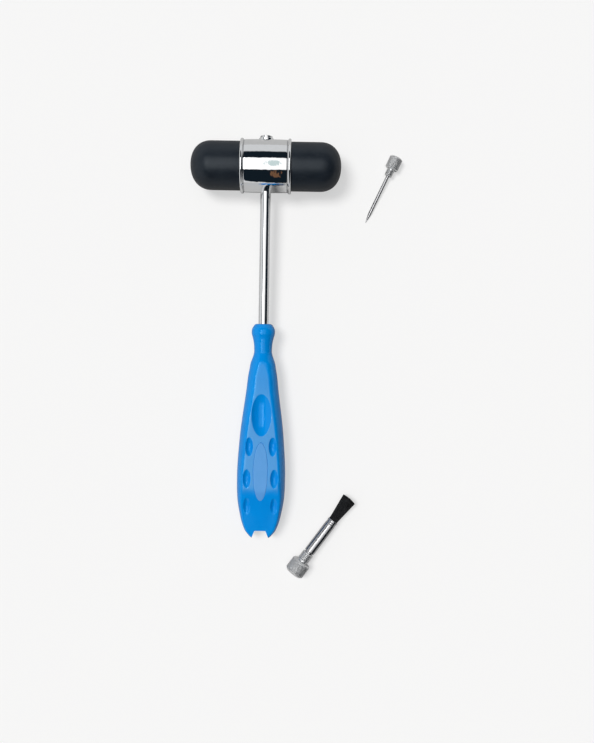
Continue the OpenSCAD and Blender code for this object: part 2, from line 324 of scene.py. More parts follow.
class Material(Graph):
    def __init__(self, name):
        self.material = bpy.data.materials.new(name)
        self.material.use_nodes = True
        super().__init__(self.material.node_tree)
        output = self.node("OutputMaterial")
        self.shader = self.node("BsdfPrincipled")
        self.feed(output.inputs[0], self.shader.outputs[0])

    def set(self, **values):
        for name, value in values.items():
            self.feed(self.shader.inputs[name.replace("_", " ")], value)

    def place_mm(self, stretch=(1, 1, 1)):
        """Object coordinates in mm."""
        mapping = self.node("Mapping")
        mapping.inputs["Scale"].default_value = [s / MM for s in stretch]
        self.feed(mapping.inputs[0], self.source("TexCoord", "Object"))
        return mapping.outputs[0]

    def attribute(self, name, output):
        node = self.node("Attribute")
        node.attribute_name = name
        return node.outputs[output]

    def loc(self):
        return self.attribute("loc", "Vector")

    def level(self):
        return self.attribute("level", "Fac")

    def noise(self, place, scale, detail=4.0, rough=0.55, distortion=0.0):
        node = self.node("TexNoise")
        self.feed(node.inputs["Vector"], place)
        node.inputs["Scale"].default_value = scale
        node.inputs["Detail"].default_value = detail
        node.inputs["Roughness"].default_value = rough
        node.inputs["Distortion"].default_value = distortion
        return node.outputs[0]

    def voronoi(self, place, scale):
        node = self.node("TexVoronoi")
        self.feed(node.inputs["Vector"], place)
        node.inputs["Scale"].default_value = scale
        return node.outputs[0]

    def bump(self, height, distance, strength, normal=None):
        """distance is in metres; normal is the bump below this one."""
        node = self.node("Bump")
        node.inputs["Strength"].default_value = strength
        node.inputs["Distance"].default_value = distance
        self.feed(node.inputs["Height"], height)
        if normal is not None:
            self.feed(node.inputs["Normal"], normal)
        return node.outputs[0]

    def pointiness(self):
        return self.source("NewGeometry", "Pointiness")

    def facing(self):
        return self.source("LayerWeight", "Facing")


def scaled(color, factor, lift=0.0):
    return tuple(min(1, c * factor + lift) for c in color)


# ---------------------------------------------------------------- materials
def plastic(name, base, light, rough, face=None):
    """Cloudy plastic with a painted highlight on its edges, painted shade in its hollows and light
    scuffs.
    """
    m = Material(name)
    place = m.place_mm()
    cloud = m.noise(place, scale=0.09, detail=3)
    fine = m.noise(place, scale=3.2, detail=3)
    # painted highlight: convex edges and rims are painted paler
    edge_highlight = m.remap(m.pointiness(), span=(0.505, 0.56))
    # painted shade: concave hollows and creases are painted darker
    hollow_shade = m.remap(m.pointiness(), span=(0.495, 0.44))
    color = m.mix(m.remap(cloud, span=(0.35, 0.65)), base, light)
    color = m.mix(m.times(edge_highlight, 0.25), color, scaled(light, 1.25, lift=0.01))
    color = m.mix(m.times(hollow_shade, 0.30), color, scaled(base, 0.72))
    streaks = m.noise(m.place_mm(stretch=(1, 0.22, 1)), scale=1.3, detail=5, rough=0.65)
    scuff = m.remap(streaks, span=(0.52, 0.78))
    if face:
        # painted reflection of the lamp: the flat faces, where level is high, are painted paler
        # than the rest, with a little noise in it
        face_sheen = m.mix(m.remap(fine, span=(0.3, 0.7)), face, scaled(face, 1.06))
        color = m.mix(m.level(), color, face_sheen)
    grain = m.remap(fine, span=(0.3, 0.7), to=(rough - 0.035, rough + 0.045))
    waves = m.bump(m.noise(place, scale=1.1, detail=2), distance=0.000012, strength=0.5)
    m.set(Base_Color=color, IOR=1.5, Specular_Tint=(0.46, 0.90, 1.0),
          Specular_IOR_Level=m.remap(m.facing(), span=(0.45, 0.95), to=(0.46, 0.08)),
          Roughness=m.math("ADD", grain, m.times(scuff, 0.06)),
          Normal=m.bump(fine, distance=0.000006, strength=0.5, normal=waves))
    return m.material


def rubber(name):
    """Blue-black rubber with a grey bloom and pale specks."""
    m = Material(name)
    place = m.place_mm()
    cloud = m.noise(place, scale=0.16)
    fine = m.noise(place, scale=5.5, rough=0.6)
    speck = m.remap(m.voronoi(place, scale=1.6), span=(0.0, 0.10), to=(1, 0))
    bloom = m.remap(m.noise(place, scale=0.55, detail=5, rough=0.7), span=(0.45, 0.75))
    color = m.mix(m.remap(cloud, span=(0.35, 0.65)),
                  (0.0072, 0.0108, 0.0162), (0.0102, 0.0144, 0.0205))
    color = m.mix(m.times(bloom, 0.30), color, (0.020, 0.023, 0.028))
    color = m.mix(m.times(speck, 0.10), color, (0.16, 0.16, 0.16))
    grain = m.bump(fine, distance=0.000028, strength=0.6)
    waves = m.noise(place, scale=1.4, detail=3)
    m.set(Base_Color=color, IOR=1.5, Specular_Tint=(0.88, 0.95, 1.0),
          Roughness=m.remap(bloom, span=(0, 1), to=(0.36, 0.44)),
          Specular_IOR_Level=m.remap(m.facing(), span=(0.30, 0.85), to=(0.37, 0.06)),
          Normal=m.bump(waves, distance=0.00004, strength=0.35, normal=grain))
    return m.material


def chrome(name):
    """Smeared chrome with painted shade where level is low, in the band's creases and the socket
    ring's notches.
    """
    m = Material(name)
    place = m.place_mm()
    smear = m.noise(place, scale=0.35, detail=5, rough=0.6, distortion=0.6)
    hair = m.noise(m.place_mm(stretch=(1, 0.06, 1)), scale=6.0, detail=3)
    color = m.mix(smear, (0.84, 0.85, 0.86), (0.92, 0.925, 0.93))
    # painted shade: the chrome is darker where level is low
    dark = m.remap(m.level(), span=(0.0, 1.0), to=(0.8, 0.0))
    ripple = m.noise(place, scale=0.24, detail=2)
    m.set(Base_Color=m.mix(dark, color, (0.10, 0.11, 0.125)), Metallic=1.0,
          Roughness=m.math("ADD", m.remap(smear, span=(0.4, 0.75), to=(0.018, 0.06)),
                           m.remap(hair, span=(0.55, 0.8), to=(0.0, 0.05))),
          Normal=m.bump(ripple, distance=0.00006, strength=0.72))
    return m.material


def turned(name, base, light, rough, groove_darkening=0.0, cad=False):
    """Turned metal with fine rings round loc's z; CAD pieces use object y instead."""
    m = Material(name)
    place = m.place_mm() if cad else m.loc()
    across, along = ((0, 2), 1) if cad else ((0, 1), 2)
    parts = m.node("SeparateXYZ")
    m.feed(parts.inputs[0], place)
    squeezed = m.node("CombineXYZ")
    for i, axis in enumerate(across):
        m.feed(squeezed.inputs[i], m.times(parts.outputs[axis], 0.12))
    m.feed(squeezed.inputs[2], parts.outputs[along])
    rings = m.noise(squeezed.outputs[0], scale=9.0, rough=0.7)
    cloud = m.noise(place, scale=0.7)
    color = m.mix(m.remap(rings, span=(0.3, 0.7)), base, light)
    color = m.mix(m.times(m.remap(cloud, span=(0.45, 0.8)), 0.35), color, scaled(base, 0.8))
    # darker where level is low, in the knurl and thread grooves, and paler where it is high, on
    # the crests and smooth turned parts
    if groove_darkening:
        level = m.level()
        color = m.mix(m.remap(level, span=(0.0, 0.75), to=(groove_darkening, 0.0)), color,
                      scaled(base, 0.22))
        color = m.mix(m.remap(level, span=(0.8, 1.0), to=(0.0, 0.5)), color,
                      scaled(light, 1.18))
    lines = m.bump(rings, distance=0.00001, strength=0.6)
    grain = m.noise(place, scale=14.0, detail=3)
    m.set(Base_Color=color, Metallic=1.0,
          Roughness=m.remap(rings, span=(0.3, 0.7), to=(rough - 0.05, rough + 0.07)),
          Normal=m.bump(grain, distance=0.000008, strength=0.6, normal=lines))
    return m.material


def bristle(name):
    m = Material(name)
    loc = m.loc()
    color = m.mix(m.level(), (0.003, 0.0035, 0.0045), (0.012, 0.013, 0.015))
    patches = m.remap(m.noise(loc, scale=3.0, detail=2), span=(0.5, 0.8), to=(0, 0.5))
    grain = m.noise(loc, scale=8.0, detail=2)
    m.set(Base_Color=m.mix(patches, color, (0.02, 0.021, 0.023)), Specular_IOR_Level=0.3,
          Roughness=m.remap(grain, span=(0.3, 0.7), to=(0.34, 0.5)))
    return m.material


MATERIALS = {
    # the blue plastic's face colour is a painted reflection of the lamp on its flat faces
    "blue_plastic": plastic("blue_plastic", base=(0.0, 0.222, 0.66), light=(0.0, 0.242, 0.70),
                            rough=0.14, face=(0.068, 0.272, 0.615)),
    "inlay_plastic": plastic("inlay_plastic", base=(0.086, 0.282, 0.625),
                             light=(0.100, 0.297, 0.655), rough=0.12),
    "rubber": rubber("rubber"),
    "chrome": chrome("chrome"),
    "knurled_steel": turned("knurled_steel", base=(0.70, 0.705, 0.71), light=(0.84, 0.845, 0.85),
                            rough=0.40, groove_darkening=0.50),
    "plain_steel": turned("plain_steel", base=(0.44, 0.44, 0.45), light=(0.58, 0.58, 0.59),
                          rough=0.24),
    "core_alloy": turned("core_alloy", base=(0.70, 0.71, 0.72), light=(0.80, 0.81, 0.82),
                         rough=0.35, cad=True),
    "brass": turned("brass", base=(0.62, 0.45, 0.18), light=(0.72, 0.54, 0.25),
                    rough=0.32, cad=True),
    "resin": plastic("resin", base=(0.48, 0.34, 0.13), light=(0.55, 0.40, 0.18), rough=0.35),
    "bristle": bristle("bristle"),
}


def dress(ob, slot, body, node):
    ob.data.materials.clear()
    ob.data.materials.append(MATERIALS[slot])
    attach(ob, body)
    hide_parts(node)


# ---------------------------------------------------------------- grip
# Stations are measured down the grip from FREE, so a station lies at y = -FREE - station.
FREE = 69.7                        # head's centre to the grip's zero station
START, NOTCH_ROOT, END = 0.7, 93.6, 97.2
COLLAR, NECK, SWELL = 5.25, 4.05, 10.9   # radii
FLAT = 7.2                         # half thickness between the flat faces
SQUARENESS = 30.0                  # how sharply the flat faces meet the round sides
GRIP_BORE, GRIP_BORE_DEPTH = 2.28, 48.5

# (station, radius of the round sides)
grip_radius = smooth_curve([
    (START, 0.62 * COLLAR), (1.0, 0.74 * COLLAR), (1.8, 0.85 * COLLAR), (2.6, 0.94 * COLLAR),
    (3.4, 0.99 * COLLAR), (4.2, COLLAR), (5.2, 0.985 * COLLAR), (6.4, 0.92 * COLLAR),
    (8, (COLLAR + 2 * NECK) / 3), (10.8, NECK), (13.2, 0.985 * NECK), (14.6, 1.05 * NECK),
    (16.2, 1.18 * NECK), (18.4, 1.365 * NECK), (21, 1.475 * NECK), (24, 0.598 * SWELL),
    (30, 0.66 * SWELL), (36, 0.732 * SWELL), (43, 0.82 * SWELL), (50, 0.893 * SWELL),
    (57, 0.945 * SWELL), (63, 0.982 * SWELL), (69, SWELL), (74, 0.997 * SWELL),
    (79, 0.975 * SWELL), (83, 0.927 * SWELL), (86.5, 0.862 * SWELL), (89.5, 0.80 * SWELL),
    (92, 0.725 * SWELL), (94.2, 0.635 * SWELL), (95.8, 0.52 * SWELL), (96.8, 0.44 * SWELL),
    (END, 0.39 * SWELL)])
# (station, half thickness)
grip_height = smooth_curve([
    (-1, 6.2), (14, 5.5), (18, 5.4), (25, 5.85), (32, 6.3), (39, 6.68), (46, 6.95),
    (53, FLAT - 0.07), (60, FLAT), (67, FLAT - 0.03), (70, 7.135), (72, 7.085), (74, 6.97),
    (75.5, 6.80), (77, 6.56), (80, 6.02), (84, 5.34), (88, 4.73), (NOTCH_ROOT, 3.95),
    (END + 1, 3.35)])
# Hollows in the flat faces: (x, station, half width, half length, depth),
# one in the middle and three pairs beside the inlay.
HOLLOWS = [(0, 41.3, 4.45, 9.5, 2.1)] + [
    (side * x, *rest) for side in (-1, 1) for x, *rest in
    ((5.2, 55.3, 1.75, 4.3, 1.25), (6.1, 69.6, 1.75, 4.3, 1.25), (6.05, 82, 1.5, 3.7, 1.0))]

INLAY_STATION, INLAY_HALF_LEN, INLAY_HALF_WIDTH = 66.6, 13.1, 3.22
INLAY_GAP = 0.04                   # the inlay is this much short at each end
INLAY_RECESS = 0.30


def inlay_half_width(station, grow):
    """The inlay is a long oval, its ends a little blunt."""
    along = np.abs(station - INLAY_STATION) / (INLAY_HALF_LEN + grow)
    return (INLAY_HALF_WIDTH + grow) * np.sqrt(np.maximum(1 - along ** 2.1, 0))


def face_height(x, station):
    """The flat face rolls over a little earlier at its two edges than in its middle."""
    bow = ((1.2 * np.clip(1 - (x / 7.5) ** 2, 0, 1) - 1.0)
           * np.clip((station - 68) / 8, 0, 1) * np.clip((94 - station) / 8, 0, 1))
    return grip_height(station - bow)


def flattened(round_radius, flat_radius):
    """The lesser of two radii, with the change from one to the other smoothed."""
    return (round_radius ** -SQUARENESS + flat_radius ** -SQUARENESS) ** (-1 / SQUARENESS)


def soft_positive(value):
    return (value + np.sqrt(value * value + 0.02 * 0.02)) / 2


def hollow_depth(x, station):
    total = np.zeros_like(x)
    for middle, middle_station, half_width, half_len, depth in HOLLOWS:
        away = ((x - middle) / half_width) ** 2 + ((station - middle_station) / half_len) ** 2
        dip = depth * soft_positive(1 - away) - depth * soft_positive(-0.6)
        total += np.where(away < 1.6, np.maximum(dip, 0), 0)
    return total


def grip_ring(angles, station):
    cosines, sines = np.cos(angles), np.sin(angles)
    radius = float(grip_radius(station))
    flat = face_height(radius * cosines, station) / np.maximum(np.abs(sines), 1e-3)
    radii = flattened(radius, flat)
    x, z = radii * cosines, radii * sines
    recess = smoothstep(inlay_half_width(station, 0.07) - np.abs(x), 0, 0.14)
    depth = hollow_depth(x, station) + INLAY_RECESS * recess
    on_face = np.clip((np.abs(sines) - 0.35) / 0.1, 0, 1)
    return np.stack([x, np.full_like(x, -FREE - station), z - np.sign(z) * depth * on_face], -1)


def grip_body():
    segments = 320
    angles = (np.arange(segments) + 0.5) * 2 * math.pi / segments

    def oval(half_width, half_height, station):
        return np.stack([half_width * np.cos(angles), np.full(segments, -FREE - station),
                         half_height * np.sin(angles)], -1)

    # (radius, station) up the bore and over its mouth
    bore = [(GRIP_BORE * 0.02, GRIP_BORE_DEPTH), (GRIP_BORE * 0.6, GRIP_BORE_DEPTH),
            (GRIP_BORE, GRIP_BORE_DEPTH), (GRIP_BORE, 30), (GRIP_BORE, 10),
            (GRIP_BORE, START + 1), (GRIP_BORE, START + 0.25), (GRIP_BORE + 0.06, START + 0.08),
            (GRIP_BORE + 0.22, START), (0.60 * COLLAR, START)]
    stations = np.concatenate([
        np.linspace(START, 4, 26, endpoint=False), np.linspace(4, 20, 60, endpoint=False),
        np.linspace(20, 92, 260, endpoint=False), np.linspace(92, END, 34)])
    rings = [oval(radius, radius, station) for radius, station in bore]
    rings += [grip_ring(angles, station) for station in stations]
    # two shrinking rings close the end
    rings += [oval(f * float(grip_radius(END)), f * float(grip_height(END)), END)
              for f in (0.6, 0.02)]
    return make_object("handle_moulding", to_hammer(np.concatenate(rings)),
                       tube_faces(len(rings), segments))


def notch_cutter():
    """A widening notch through the grip's end, with small radii at its root corners."""
    root_half, mouth_half, fillet, overrun, half_height = 2.5, 3.85, 0.45, 2.5, 9
    root, mouth, beyond = -FREE - NOTCH_ROOT, -FREE - END, -FREE - (END + overrun)
    slope = (mouth_half - root_half) / (END - NOTCH_ROOT)
    beyond_half = mouth_half + slope * overrun
    outline = rounded([(0, root), (-root_half, root, fillet), (-mouth_half, mouth),
                       (-beyond_half, beyond), (beyond_half, beyond),
                       (mouth_half, mouth), (root_half, root, fillet), (0.001, root)], 6)
    count = len(outline)
    points = [(x, y, z) for z in (-half_height, half_height) for x, y in outline]
    faces = [tuple(range(count)), tuple(range(2 * count - 1, count - 1, -1))]
    for i in range(count):
        j = (i + 1) % count
        faces.append((i, j, count + j, count + i))
    return make_object("cutter_a", to_hammer(np.array(points)), faces)


def end_bore_cutter():
    """A round bore that reaches up the grip from beyond the notch's root."""
    radius, low, high = 3.48, -FREE - NOTCH_ROOT - 3, -FREE - NOTCH_ROOT + 38
    return lathe("cutter_b", [(0, low), (radius, low), (radius, high), (0, high)], to_stem)


def mark_painted_sheen(mesh):
    """Level is 1 on the two flat faces and 0 on the collar, sides, hollows and sloping end. It
    places the painted reflection of the lamp, weaker towards the collar and fading out where the
    face rolls over towards the end.
    """
    points = np.empty(len(mesh.vertices) * 3, np.float32)
    mesh.vertices.foreach_get("co", points)
    points = (points.reshape(-1, 3).astype(float) - HEAD) / MM
    x, station, z = points @ HEAD_AXIS, -FREE - points @ STEM_AXIS, np.abs(points @ FACE_AXIS)
    face = face_height(x, station)
    level = (smoothstep(z, face - 0.10, face - 0.03) * smoothstep(station, 15.5, 18.5)
             * (1 - smoothstep(station, 71.5, 77.5)) * (0.45 + 0.55 * smoothstep(station, 18, 46)))
    # the cut may have passed on the cutter's level
    if "level" in mesh.attributes:
        mesh.attributes.remove(mesh.attributes["level"])
    add_attribute(mesh, "level", "FLOAT", "value", level)


def build_grip():
    ob = grip_body()
    cut(ob, notch_cutter())
    cut(ob, end_bore_cutter())
    shade(ob.data, sharp=42)
    mark_painted_sheen(ob.data)
    return ob


def surface_height(x, station):
    """The grip's outer face above its middle plane, found by stepping towards it."""
    side, face = grip_radius(station), face_height(x, station)
    z = face
    for _ in range(4):
        radius = np.hypot(x, z)
        flat = face * radius / np.maximum(z, 1e-3)
        z = np.minimum(z * flattened(side, flat) / radius, face)
    return z


def build_inlay(name, side):
    """A thin oval plate with a falling rim; side is 1 on the upper face, -1 on the lower."""
    columns, rows = 25, 121
    proud, rim_width, rim_fall, sunk = 0.06, 0.22, 0.14, 0.40
    half_len = INLAY_HALF_LEN - INLAY_GAP
    across = np.sin(np.linspace(-1, 1, columns) * math.pi / 2)
    outer, inner = [], []
    for along in np.sin(np.linspace(-1, 1, rows) * math.pi / 2) * half_len:
        station = INLAY_STATION + along
        half_width = float(inlay_half_width(station, -0.02))
        x = across * half_width
        y = np.full_like(x, -FREE - station)
        z = surface_height(x, station)
        rim = np.minimum(half_width * (1 - np.abs(across)), (half_len - abs(along)) * 0.9)
        fall = np.clip(1 - rim / rim_width, 0, 1) ** 2
        outer.append(np.stack([x, y, side * (z + proud - rim_fall * fall)], -1))
        inner.append(np.stack([x, y, side * (z - sunk)], -1))
    under = rows * columns
    faces = []
    for row in range(rows - 1):
        for column in range(columns - 1):
            i = row * columns + column
            j = i + columns
            faces.append((i, i + 1, j + 1, j))
            faces.append((under + i, under + j, under + j + 1, under + i + 1))
    for row in range(rows - 1):
        i = row * columns
        faces.append((i, i + columns, under + i + columns, under + i))
        i += columns - 1
        faces.append((i, under + i, under + i + columns, i + columns))
    for i in range(columns - 1):
        faces.append((i, under + i, under + i + 1, i + 1))
        j = (rows - 1) * columns + i
        faces.append((j, j + 1, under + j + 1, under + j))
    return make_object(name, to_hammer(np.concatenate(outer + inner)), faces, sharp=50)


dress(build_grip(), "blue_plastic", "hammer", "handle")
dress(build_inlay("inlay_front", 1), "inlay_plastic", "hammer", "grip_inlay_front")
dress(build_inlay("inlay_back", -1), "inlay_plastic", "hammer", "grip_inlay_back")

# ---------------------------------------------------------------- stem
STEM_R, STEM_TOP = 2.25, 7.4
STEM_BORE, STEM_BORE_FLOOR = 0.95, -14.5
TANG = 48.0                        # length inside the grip
GROOVES, GROOVE_PITCH, GROOVE_DEPTH = 6, 5, 0.45


def build_stem():
    """A rod with a bore in its head end and a grooved tang."""
    profile = [(0, STEM_BORE_FLOOR), (STEM_BORE, STEM_BORE_FLOOR), (STEM_BORE, STEM_TOP),
               (STEM_R - 0.1, STEM_TOP, 0.05), (STEM_R, 7.2, 0.1), (STEM_R, -FREE - 12)]
    for i in range(GROOVES):
        z = -FREE - 14 - GROOVE_PITCH * i
        floor = STEM_R - GROOVE_DEPTH
        profile += [(STEM_R, z), (floor, z - 0.6), (floor, z - 2), (STEM_R, z - 2.6)]
    profile += [(STEM_R, -FREE - TANG + 1), (STEM_R - 0.8, -FREE - TANG), (0, -FREE - TANG)]
    return lathe("stem_rod", densify(rounded(profile), 6.0), to_stem, 128)


dress(build_stem(), "chrome", "hammer", "stem")

# ---------------------------------------------------------------- head
BAND_HALF = 11.25                  # half the band's length along the head
LIP_R, LIP_ROLL = 12.1, 0.68       # outer radius of the rolled lips, radius of their roll
DRUM_R, CROWN = 11.5, 0.15         # band's radius between the lips and its rise in the middle
BAND_BORE = 10.75
# Crease beside a lip: (radius less DRUM_R, distance in from the band's end)
CREASE = [(0.16, 1.34), (0.03, 1.42), (-0.07, 1.54), (-0.09, 1.64), (-0.06, 1.76),
          (-0.01, 1.90), (0.01, 2.02), (0.003, 2.15)]


def crease_painted_shade(angles, radius, z):
    """The crease beside each rolled lip gets a low level, a painted dark line of shade on the
    chrome.
    """
    away = min(1.0, abs(abs(z) - (BAND_HALF - 1.62)) / 0.34)
    level = 0.25 + 0.75 * away * away if radius > DRUM_R - 0.2 else 1.0
    return np.full_like(angles, radius), np.full_like(angles, level)


def build_band():
    half = [(BAND_BORE, 0.0), (BAND_BORE, BAND_HALF - 0.35),
            (BAND_BORE + 0.06, BAND_HALF - 0.1), (BAND_BORE + 0.25, BAND_HALF)]
    half += [(LIP_R - LIP_ROLL + LIP_ROLL * math.sin(a),
              BAND_HALF - LIP_ROLL + LIP_ROLL * math.cos(a))
             for a in np.radians(np.arange(-6, 152, 7.5))]
    half += [(DRUM_R + rise, BAND_HALF - inset) for rise, inset in CREASE]
    half += [(DRUM_R + CROWN * (1 - (x / (BAND_HALF - 1.5)) ** 2), x)
             for x in np.linspace(BAND_HALF - 2.3, 0, 26)]
    mirrored = [(radius, -x) for radius, x in reversed(half[1:-1])]
    return lathe("band_ring", half + mirrored, to_head, 256, shape=crease_painted_shade, sharp=60)


def build_bumper(name, side):
    """A hollow rubber bumper with a domed end; side is 1 towards +X and -1 towards -X."""
    tip, dome_len, radius = 33.6, 9.6, 10.8
    power = 2 / 2.25               # the dome is a little squarer than an ellipse
    dome = tip - dome_len
    # (radius, distance from the head's centre)
    profile = [(0, 16.6), (1.95, 16.6), (3.4, 14.25), (3.4, 14.05), (2.43, 13.5),
               (2.43, 3.45), (BAND_BORE - 0.35, 3.45), (BAND_BORE - 0.05, 3.75),
               (BAND_BORE - 0.05, BAND_HALF - 0.1), (radius - 0.12, BAND_HALF + 0.04),
               (radius - 0.02, BAND_HALF + 0.12), (radius, BAND_HALF + 0.35),
               (radius, BAND_HALF + 3), (radius, BAND_HALF + 6.5), (radius, dome - 3)]
    profile += [(radius * math.cos(a) ** power, dome + dome_len * math.sin(a) ** power)
                for a in np.radians(np.linspace(0, 90, 46))[:-1]]
    profile.append((0, tip))
    return lathe(name, [(r, side * x) for r, x in profile], to_head, 160, sharp=45)


dress(build_band(), "chrome", "hammer", "head_band")
dress(build_bumper("rubber_right", 1), "rubber", "hammer", "bumper_right")
dress(build_bumper("rubber_left", -1), "rubber", "hammer", "bumper_left")

SOCKET_TOP = 13.2


def notch_shape(angles, radius, z):
    """Four notches across the ring's top, at 45 degrees to the head, with painted shade in them
    through a lower level.
    """
    if radius <= 2.3 or z <= SOCKET_TOP - 0.72:
        return round_shape(angles, radius, z)
    turn = 2 * math.pi
    away = [np.abs((angles - k * math.pi / 2 - math.pi / 4 + math.pi) % turn - math.pi)
            for k in range(4)]
    inside = np.clip((0.36 - np.min(away, axis=0) * radius) / 0.06, 0, 1)
    return radius - (radius - 2.2) * inside, 1 - 0.6 * inside


def build_socket():
    """The socket on top of the head: a flange, a notched ring and its bore."""
    profile = rounded([
        (1.85, 7.5), (2.55, 7.5, 0.1), (2.55, 11.17), (3.3, 11.17, 0.12), (3.3, 12.15, 0.18),
        (2.77, 12.3, 0.12), (2.77, 12.46, 0.02), (2.77, SOCKET_TOP, 0.22),
        (1.86, SOCKET_TOP, 0.12)])
    return lathe("socket_ring", densify(profile, 0.35), to_stem, 288, shape=notch_shape, sharp=40)


dress(build_socket(), "chrome", "hammer", "needle_socket")

# ---------------------------------------------------------------- knobs
KNOB_BORE_FLOOR = -2.5
SHAFT_ROOT = -2.4                  # where the needle and the ferrule start in their knobs
BRUSH_BOSS_END = 4.7


def triangle(phase):
    return 1 - np.abs(2 * phase - 1)


def knurl(count, depth, full_radius, start, end):
    """Crossed grooves that leave rows of small pyramids between start and end."""
    def shape(angles, radius, z):
        if abs(radius - full_radius) > 0.02 or z < start or z > end:
            return np.full_like(angles, radius), np.full_like(angles, 0.9)
        around = angles * count / (2 * math.pi)
        lean = z * (count / (2 * math.pi * full_radius))
        ridges = np.minimum(triangle((around + lean) % 1.0), triangle((around - lean) % 1.0))
        fade = min(1.0, (z - start) / 0.18, (end - z) / 0.18)
        groove = (1 - np.minimum(ridges * 1.7, 1.0)) * fade
        return radius - depth * groove, 1 - groove

    return shape


def thread(grip_shape, full_radius, start, end, pitch, depth):
    """A screw thread between start and end; below zero grip_shape takes over."""
    def shape(angles, radius, z):
        if z < 0:
            return grip_shape(angles, radius, z)
        if abs(radius - full_radius) > 1e-3 or z < start or z > end:
            return round_shape(angles, radius, z)
        crest = np.clip(triangle((z / pitch - angles / (2 * math.pi)) % 1.0) * 1.5 - 0.12, 0, 1)
        fade = min(1.0, (z - start) / (0.5 * pitch), (end - z) / (0.5 * pitch))
        return radius - depth * (1 - crest) * fade, 1 - 0.8 * (1 - crest) * fade

    return shape


def build_knob(name, place, radius, length, boss_r, boss_end, neck_r, neck_end, bore_r,
               knurl_count, knurl_depth, pitch, thread_depth, chamfer):
    """A knurled knob below z = 0, with a neck, a threaded boss and a bore above it."""
    low, high = -length + chamfer * 1.15, -chamfer * 0.6
    profile = rounded([
        (0, -length), (0.55 * radius, -length + 0.03, 1.5),
        (radius - chamfer, -length + 0.22, 0.25), (radius, low, 0.12), (radius, high, 0.10),
        (radius - chamfer * 0.6, 0, 0.12), (neck_r, 0, 0.08), (neck_r, neck_end, 0.05),
        (boss_r, neck_end + 0.02, 0.05), (boss_r, boss_end - 0.25, 0.05),
        (boss_r - 0.25, boss_end, 0.05), (bore_r, boss_end, 0.03),
        (bore_r, KNOB_BORE_FLOOR), (0, KNOB_BORE_FLOOR)], 4)
    grip = knurl(knurl_count, knurl_depth, radius, low + 0.02, high - 0.02)
    shape = thread(grip, boss_r, neck_end + 0.1, boss_end - 0.2, pitch, thread_depth)
    return lathe(name, densify(profile, 0.085), place, knurl_count * 9, shape=shape, sharp=60)


dress(build_knob("needle_grip", to_needle, radius=3.05, length=6.0, boss_r=1.8, boss_end=3.4,
                 neck_r=1.5, neck_end=0.6, bore_r=0.78, knurl_count=24, knurl_depth=0.16,
                 pitch=0.5, thread_depth=0.16, chamfer=0.6),
      "knurled_steel", "needle_screw", "needle_knob")
dress(build_knob("brush_grip", to_brush, radius=4.5, length=7.0, boss_r=2.72,
                 boss_end=BRUSH_BOSS_END, neck_r=2.27, neck_end=0.7, bore_r=1.83,
                 knurl_count=32, knurl_depth=0.2, pitch=0.7, thread_depth=0.2, chamfer=0.95),
      "knurled_steel", "brush_screw", "brush_knob")

# ---------------------------------------------------------------- needle
NEEDLE_TIP, NEEDLE_R, TAPER_LEN, POINT_R = 26.8, 0.75, 4.6, 0.035


def build_needle():
    shoulder = NEEDLE_TIP - TAPER_LEN
    profile = [(0, SHAFT_ROOT), (NEEDLE_R, SHAFT_ROOT), (NEEDLE_R, shoulder)]
    for i in range(1, 15):
        t = i / 14
        profile.append((NEEDLE_R * (1 - t ** 1.35) + POINT_R * t, shoulder + TAPER_LEN * t))
    profile.append((0, NEEDLE_TIP))
    return lathe("needle_wire", densify(np.array(profile, float), 1.5), to_needle, 40, sharp=60)


dress(build_needle(), "plain_steel", "needle_pin", "needle_shaft")

# ---------------------------------------------------------------- brush
FERRULE_R, FERRULE_END = 2.45, BRUSH_BOSS_END + 18.7


def build_ferrule():
    """A tube with a groove near its open end."""
    base, end, radius = BRUSH_BOSS_END, FERRULE_END, FERRULE_R
    groove_r, inner_r, floor = radius - 0.13, radius - 0.28, end - 9.2
    profile = rounded([
        (0, SHAFT_ROOT), (1.8, SHAFT_ROOT, 0.2), (1.8, base + 0.1), (1.95, base + 0.1, 0.03),
        (1.95, base + 0.68, 0.03), (radius - 0.1, base + 0.72, 0.08), (radius, base + 1.0, 0.1),
        (radius, end - 2.3, 0.08), (groove_r, end - 2.0, 0.08), (groove_r, end - 1.3, 0.08),
        (radius, end - 1.0, 0.08), (radius, end, 0.14), (inner_r, end, 0.1),
        (inner_r, floor), (0, floor)], 4)
    return lathe("ferrule_tube", densify(profile, 1.2), to_brush, 96, sharp=50)


